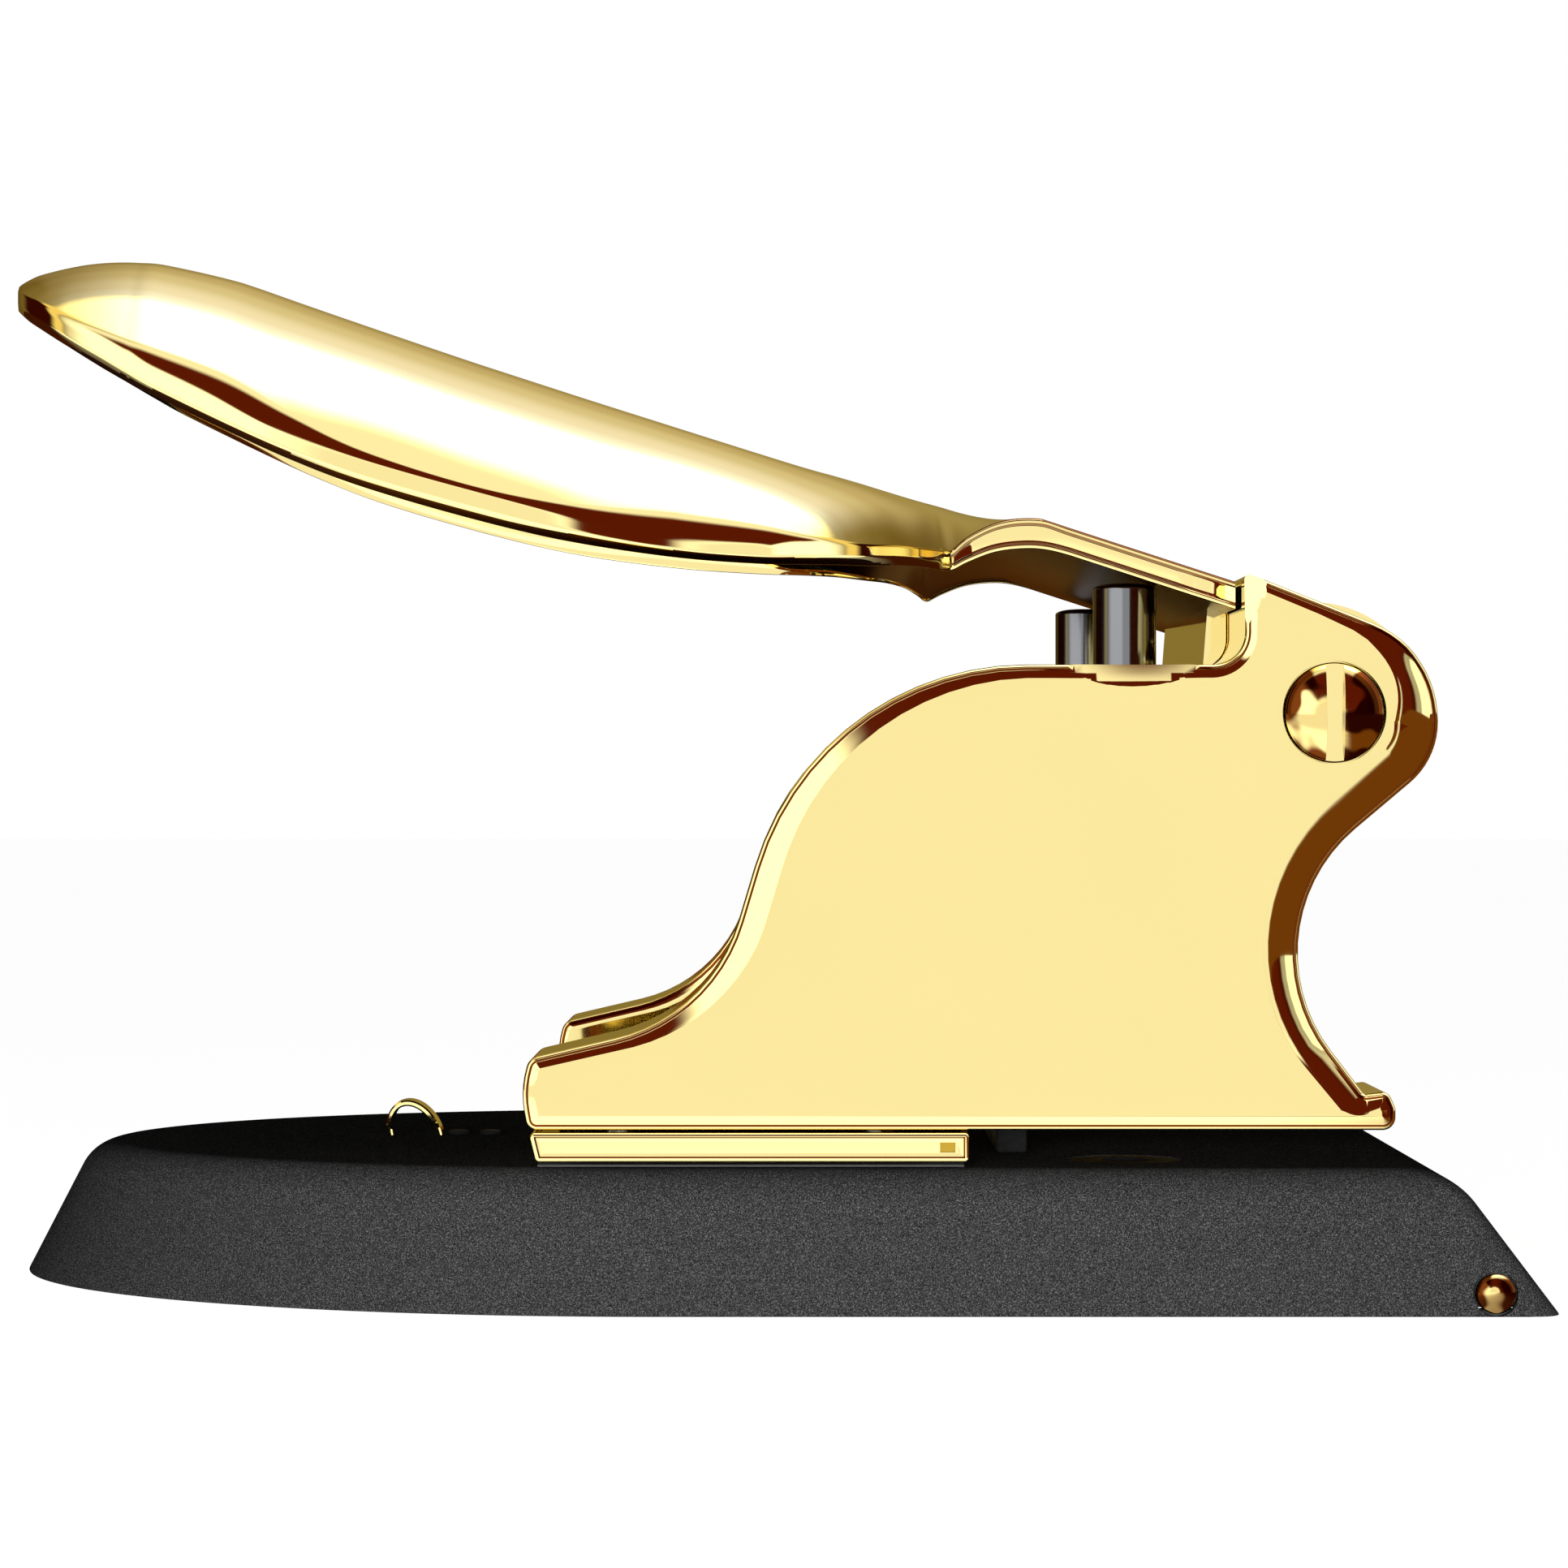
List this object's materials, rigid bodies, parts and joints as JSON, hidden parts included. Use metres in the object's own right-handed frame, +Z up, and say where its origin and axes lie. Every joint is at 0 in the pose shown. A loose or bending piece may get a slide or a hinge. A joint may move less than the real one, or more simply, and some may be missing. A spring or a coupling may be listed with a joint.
{
  "type": "hole punch",
  "caption": "Desk paper punch with a spoon-shaped lever hinged between gold side cheeks, sprung pins, a black base and a hinged chip lid.",
  "frame": {"origin": "on the table, under the middle of the punch's overall length and width", "axes": "+X to the rear, where the paper goes in; the handle points to -X; +Z up"},
  "size_m": [0.1986, 0.125, 0.1358],
  "materials": {
    "polished_gold": "polished, plated",
    "black_powder_coat": "fine speckled powder coat",
    "polished_steel": "polished",
    "bearing_bronze": "turned",
    "black_plastic": "moulded",
    "black_rubber": "matt"
  },
  "bodies": {
    "base": {"base_casting": "black_powder_coat", "base_gasket": "black_rubber", "bore_sleeve_far": "polished_gold", "bore_sleeve_near": "polished_gold", "cheek_far": "polished_gold", "cheek_near": "polished_gold", "cheek_screw_far_front": "polished_steel", "cheek_screw_far_rear": "polished_steel", "cheek_screw_near_front": "polished_steel", "cheek_screw_near_rear": "polished_steel", "die_far": "polished_steel", "die_near": "polished_steel", "finger_loop": "polished_gold", "guide_bush_far": "bearing_bronze", "guide_bush_near": "bearing_bronze", "lid_hinge_pin": "polished_steel", "lid_pin_cap_far": "polished_gold", "lid_pin_cap_near": "polished_gold", "loop_rivet_front": "polished_steel", "loop_rivet_rear": "polished_steel", "paper_stop": "black_plastic", "pivot_screw_far": "polished_gold", "pivot_screw_near": "polished_gold", "pivot_shaft": "polished_steel", "pivot_washer_far": "bearing_bronze", "pivot_washer_near": "bearing_bronze", "return_spring_far": "polished_steel", "return_spring_near": "polished_steel", "sole_bar_far": "polished_gold", "sole_bar_near": "polished_gold", "sole_pad_far": "black_rubber", "sole_pad_near": "black_rubber", "stop_screw_far": "polished_steel", "stop_screw_near": "polished_steel"},
    "lever": {"lever": "polished_gold", "hub_bush_near": "bearing_bronze", "hub_bush_far": "bearing_bronze"},
    "pin_near": {"punch_pin_near": "polished_steel"},
    "pin_far": {"punch_pin_far": "polished_steel"},
    "chip_lid": {"chip_lid": "black_plastic"}
  },
  "joints": [
    {"name": "lever_hinge", "type": "hinge", "parent": "base", "child": "lever", "pos_m": [0.0722, 0, 0.07395], "axis": [0, -1, 0], "range_deg": [0, 16.5]},
    {"name": "pin_near_slide", "type": "slide", "parent": "base", "child": "pin_near", "axis": [0, 0, -1], "range_m": [0, 0.0078], "stiffness_N_per_m": 1500, "springref_m": -0.01, "deforming": ["return_spring_near"]},
    {"name": "pin_far_slide", "type": "slide", "parent": "base", "child": "pin_far", "axis": [0, 0, -1], "range_m": [0, 0.0078], "stiffness_N_per_m": 1500, "springref_m": -0.01, "deforming": ["return_spring_far"]},
    {"name": "chip_lid_hinge", "type": "hinge", "parent": "base", "child": "chip_lid", "pos_m": [0.0912, 0, 0.00295], "axis": [0, -1, 0], "range_deg": [0, 100]}
  ],
  "couplings": [
    {"joint": "pin_near_slide", "follows": "lever_hinge", "m_per_rad": 0.0266},
    {"joint": "pin_far_slide", "follows": "lever_hinge", "m_per_rad": 0.0266}
  ]
}
